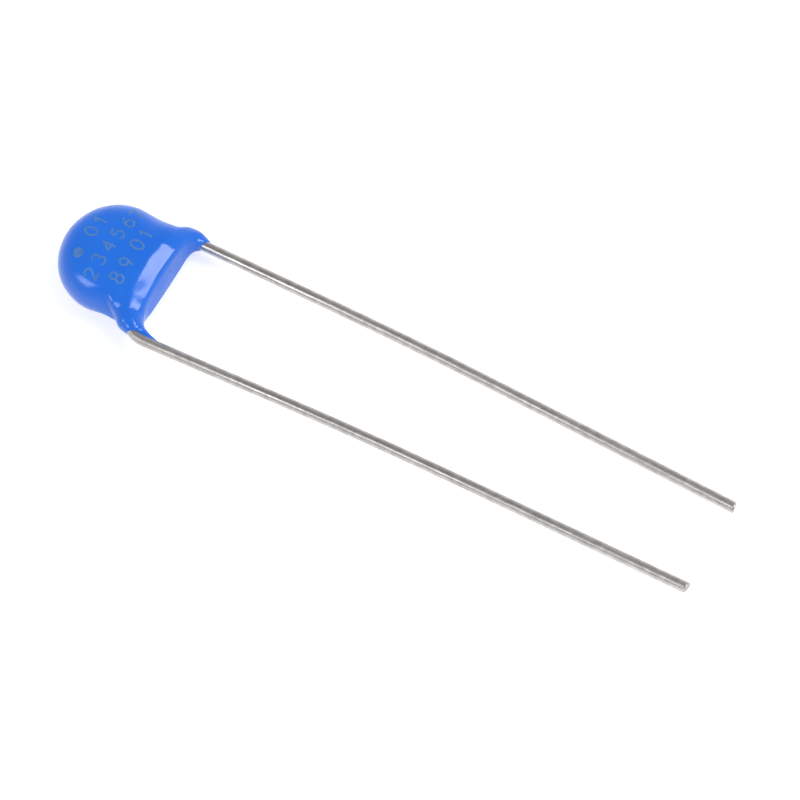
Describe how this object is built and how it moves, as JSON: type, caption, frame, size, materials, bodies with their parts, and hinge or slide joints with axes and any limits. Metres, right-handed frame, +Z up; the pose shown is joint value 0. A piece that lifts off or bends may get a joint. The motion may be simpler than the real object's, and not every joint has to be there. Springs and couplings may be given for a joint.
{
  "type": "varistor",
  "caption": "Radial-lead disc varistor: a rounded blue epoxy-coated disc with two tinned wire leads flaring from its edge.",
  "frame": {"origin": "on the table under the middle of the part's box, as it lies at rest", "axes": "+X from the coated disc along the wires to their tips, +Z up through the front face"},
  "size_m": [0.0406, 0.0072, 0.0033],
  "materials": {
    "zinc_oxide": "matt sintered ceramic",
    "silver": "matt fired silver",
    "solder": "bright tin solder",
    "tinned_wire": "satin drawn and tinned copper",
    "epoxy": "glossy blue dipped epoxy"
  },
  "bodies": {
    "root": {"zinc_oxide_disc": "zinc_oxide", "front_electrode": "silver", "rear_electrode": "silver", "front_solder_joint": "solder", "rear_solder_joint": "solder", "front_lead": "tinned_wire", "rear_lead": "tinned_wire", "epoxy_coating": "epoxy"}
  },
  "joints": []
}
